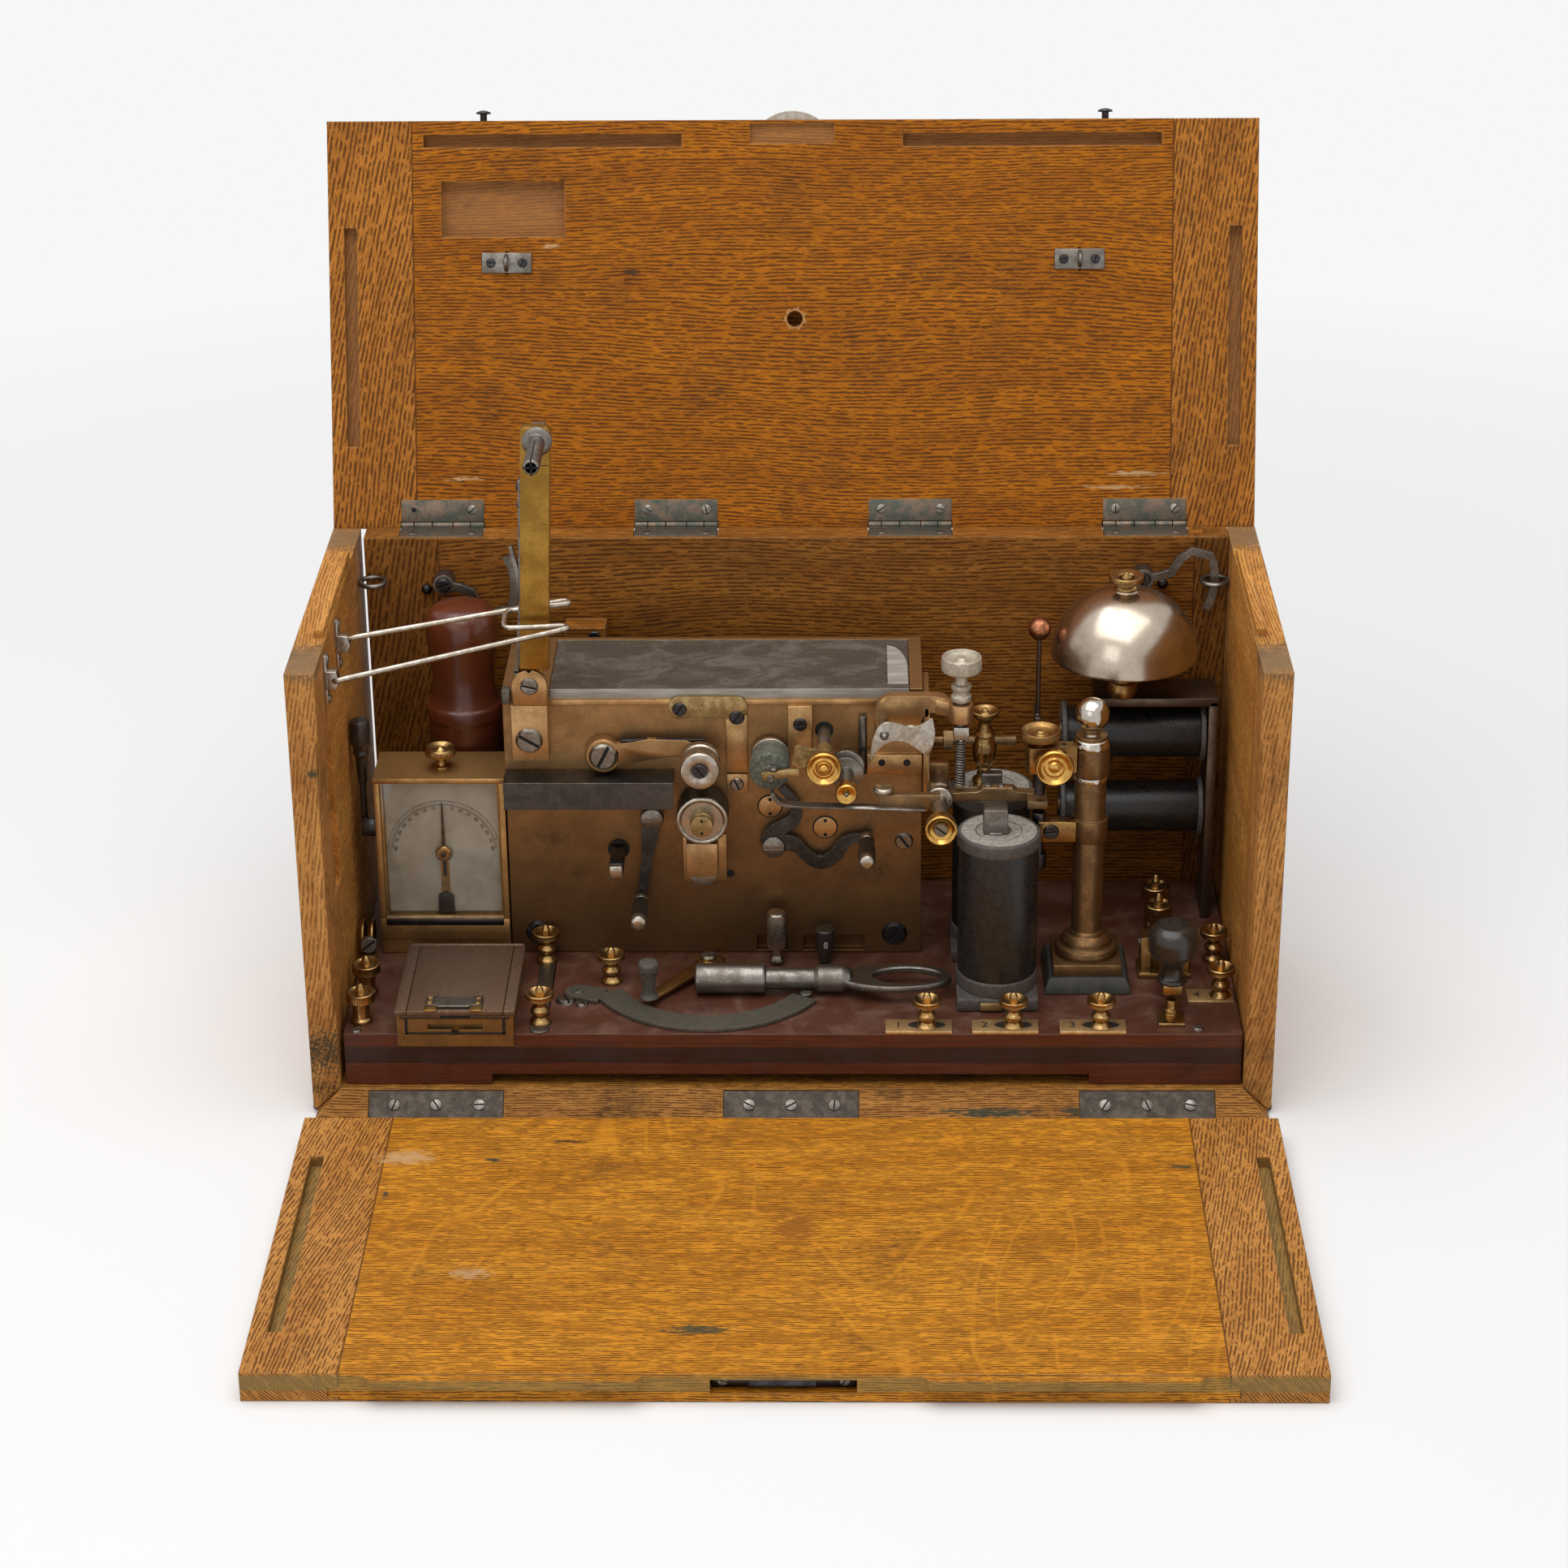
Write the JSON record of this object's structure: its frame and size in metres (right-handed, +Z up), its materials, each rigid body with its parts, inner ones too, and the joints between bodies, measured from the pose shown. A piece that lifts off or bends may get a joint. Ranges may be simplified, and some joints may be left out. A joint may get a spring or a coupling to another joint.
{
  "type": "portable telegraph set",
  "caption": "Ink-writing field telegraph in a fold-out oak case, with clockwork tape drive, electromagnets, Morse key, galvanometer and electric bell.",
  "frame": {"origin": "middle of the closed case's underside, at table level", "axes": "+Z up, +X to the operator's right, -Y towards the operator; the front flap lies open along -Y"},
  "size_m": [0.4014, 0.4439, 0.3686],
  "materials": {
    "oak": "worn varnish",
    "mahogany": "polished",
    "brass": "lacquered, worn",
    "nickel": "dulled plating",
    "steel": "satin",
    "bronze": "dark patina",
    "black": "black lacquer",
    "copper": "satin copper",
    "glass": "clear"
  },
  "bodies": {
    "case": {"base_board": "oak", "back_wall": "oak", "right_wall": "oak", "lid_hinge_1": "bronze", "lid_hinge_2": "bronze", "lid_hinge_3": "bronze", "lid_hinge_4": "bronze", "flap_hinge_1": "steel", "flap_hinge_2": "steel", "flap_hinge_3": "steel", "left_wall_hinge": "steel", "right_wall_hinge": "steel", "plinth": "mahogany", "galvanometer_case": "brass", "galvanometer_glass": "glass", "arrester_box": "brass", "switch_arc": "steel", "movement_case": "brass", "movement_glass": "glass", "reel_bracket": "brass", "tape_table": "black", "roller_bracket": "brass", "top_bracket": "brass", "screw_bracket": "brass", "coil_front": "black", "coil_rear": "black", "baluster_post": "brass", "contact_column": "brass", "bell_frame": "black", "gong": "nickel", "wooden_case": "mahogany"},
    "lid": {"lid": "oak", "lid_disc": "nickel"},
    "adjusting_screw": {"adjusting_screw": "nickel"},
    "arrester_lid": {"arrester_lid": "brass"},
    "bell_hammer": {"bell_hammer": "copper"},
    "brake_lever": {"brake_lever": "black"},
    "curved_lever": {"curved_lever": "black"},
    "feed_roller": {"feed_roller": "nickel"},
    "feed_shaft": {"feed_shaft": "brass"},
    "front_flap": {"front_flap": "oak"},
    "galvanometer_needle": {"galvanometer_needle": "black"},
    "ink_roller": {"ink_roller": "steel"},
    "ink_wheel": {"ink_wheel": "brass"},
    "key_lever": {"key_lever": "black"},
    "left_hook": {"left_hook": "steel"},
    "left_wall": {"left_wall": "oak"},
    "pressure_arm": {"pressure_arm": "steel"},
    "pressure_roller": {"pressure_roller": "nickel"},
    "printing_lever": {"printing_lever": "steel"},
    "reel_arm": {"reel_arm": "brass"},
    "right_hook": {"right_hook": "steel"},
    "setting_lever": {"setting_lever": "black"},
    "shunt_lever": {"shunt_lever": "black"},
    "start_lever": {"start_lever": "nickel"},
    "switch_arm": {"switch_arm": "steel"},
    "upper_stop_screw": {"upper_stop_screw": "brass"},
    "winding_arbor": {"winding_arbor": "steel"},
    "winding_key": {"winding_key": "nickel"},
    "wire_bail": {"wire_bail": "nickel"}
  },
  "joints": [
    {"name": "lid_hinge", "type": "hinge", "parent": "case", "child": "lid", "pos_m": [0, 0.0876, 0.2006], "axis": [-1, 0, 0], "range_deg": [-108, 0]},
    {"name": "flap_hinge", "type": "hinge", "parent": "case", "child": "front_flap", "pos_m": [0, -0.0856, 0.0012], "axis": [1, 0, 0], "range_deg": [-90, 0]},
    {"name": "left_wall_hinge", "type": "hinge", "parent": "case", "child": "left_wall", "pos_m": [-0.1996, 0.006, 0.0012], "axis": [0, -1, 0], "range_deg": [0, 90]},
    {"name": "bail_pivot", "type": "hinge", "parent": "left_wall", "child": "wire_bail", "pos_m": [-0.184, -0.0275, 0.186], "axis": [0, -1, 0], "range_deg": [0, 80]},
    {"name": "left_hook_pivot", "type": "hinge", "parent": "case", "child": "left_hook", "pos_m": [-0.151, 0.067, 0.1814], "axis": [0, -1, 0], "range_deg": [0, 180]},
    {"name": "right_hook_pivot", "type": "hinge", "parent": "case", "child": "right_hook", "pos_m": [0.151, 0.067, 0.1835], "axis": [0, -1, 0], "range_deg": [0, 100]},
    {"name": "reel_arm_fold", "type": "hinge", "parent": "case", "child": "reel_arm", "pos_m": [-0.1091, -0.0013, 0.1641], "axis": [0, -1, 0], "range_deg": [-84, 0]},
    {"name": "needle_pivot", "type": "hinge", "parent": "case", "child": "galvanometer_needle", "pos_m": [-0.1494, 0.005, 0.0824], "axis": [0, 1, 0], "range_deg": [-80, 80], "stiffness_Nm_per_rad": 0.0005},
    {"name": "shunt_switch", "type": "hinge", "parent": "case", "child": "shunt_lever", "pos_m": [-0.183, 0.01, 0.0928], "axis": [1, 0, 0], "range_deg": [-12, 12]},
    {"name": "arrester_lid_hinge", "type": "hinge", "parent": "case", "child": "arrester_lid", "pos_m": [-0.1391, -0.0128, 0.047], "axis": [-1, 0, 0], "range_deg": [0, 95]},
    {"name": "line_switch", "type": "hinge", "parent": "case", "child": "switch_arm", "pos_m": [-0.036, -0.013, 0.0381], "axis": [0, 0, 1], "range_deg": [-15, 3]},
    {"name": "winding_key_lift", "type": "slide", "parent": "case", "child": "winding_key", "axis": [0, 0, 1], "range_m": [0, 0.03]},
    {"name": "brake_pivot", "type": "hinge", "parent": "case", "child": "brake_lever", "pos_m": [-0.0594, 0.0017, 0.1024], "axis": [0, -1, 0], "range_deg": [-8, 15]},
    {"name": "curved_lever_pivot", "type": "hinge", "parent": "case", "child": "curved_lever", "pos_m": [-0.008, 0.0017, 0.089], "axis": [0, 1, 0], "range_deg": [-5, 5]},
    {"name": "winding_spin", "type": "hinge", "parent": "case", "child": "winding_arbor", "pos_m": [-0.0741, 0, 0.086], "axis": [0, 1, 0], "continuous": true},
    {"name": "pressure_arm_pivot", "type": "hinge", "parent": "case", "child": "pressure_arm", "pos_m": [-0.0792, -0.0045, 0.1321], "axis": [0, 1, 0], "range_deg": [0, 7]},
    {"name": "pressure_roller_spin", "type": "hinge", "parent": "pressure_arm", "child": "pressure_roller", "pos_m": [-0.038, -0.0045, 0.1318], "axis": [0, 1, 0], "continuous": true},
    {"name": "feed_roller_spin", "type": "hinge", "parent": "case", "child": "feed_roller", "pos_m": [-0.0376, 0, 0.1066], "axis": [0, 1, 0], "continuous": true},
    {"name": "ink_roller_spin", "type": "hinge", "parent": "case", "child": "ink_roller", "pos_m": [-0.0089, 0, 0.1313], "axis": [0, 1, 0], "continuous": true},
    {"name": "ink_wheel_spin", "type": "hinge", "parent": "case", "child": "ink_wheel", "pos_m": [0.0231, 0, 0.1306], "axis": [0, 1, 0], "continuous": true},
    {"name": "feed_shaft_spin", "type": "hinge", "parent": "case", "child": "feed_shaft", "pos_m": [0.0138, 0, 0.1415], "axis": [0, 1, 0], "continuous": true},
    {"name": "adjusting_screw_turn", "type": "hinge", "parent": "case", "child": "adjusting_screw", "pos_m": [0.0707, -0.012, 0.15], "axis": [0, 0, 1], "continuous": true},
    {"name": "stop_screw_turn", "type": "hinge", "parent": "case", "child": "upper_stop_screw", "pos_m": [0.1035, -0.0215, 0.135], "axis": [0, 0, 1], "continuous": true},
    {"name": "printing_lever_pivot", "type": "hinge", "parent": "case", "child": "printing_lever", "pos_m": [0.062, 0.01, 0.1185], "axis": [0, 1, 0], "range_deg": [-1.5, 1.5], "stiffness_Nm_per_rad": 2},
    {"name": "bell_hammer_spring", "type": "hinge", "parent": "case", "child": "bell_hammer", "pos_m": [0.1054, 0.04, 0.0363], "axis": [0, 1, 0], "range_deg": [-1, 0.8], "stiffness_Nm_per_rad": 1},
    {"name": "key_lever_pivot", "type": "hinge", "parent": "case", "child": "key_lever", "pos_m": [0.1585, -0.015, 0.05], "axis": [1, 0, 0], "range_deg": [0, 4], "stiffness_Nm_per_rad": 1, "springref_deg": -2.86},
    {"name": "start_lever_slide", "type": "slide", "parent": "case", "child": "start_lever", "axis": [1, 0, 0], "range_m": [-0.006, 0.0015]},
    {"name": "setting_lever_slide", "type": "slide", "parent": "case", "child": "setting_lever", "axis": [1, 0, 0], "range_m": [-0.006, 0.014]}
  ],
  "couplings": [
    {"joint": "reel_arm_fold", "follows": "lid_hinge", "ratio": 0.7777}
  ]
}
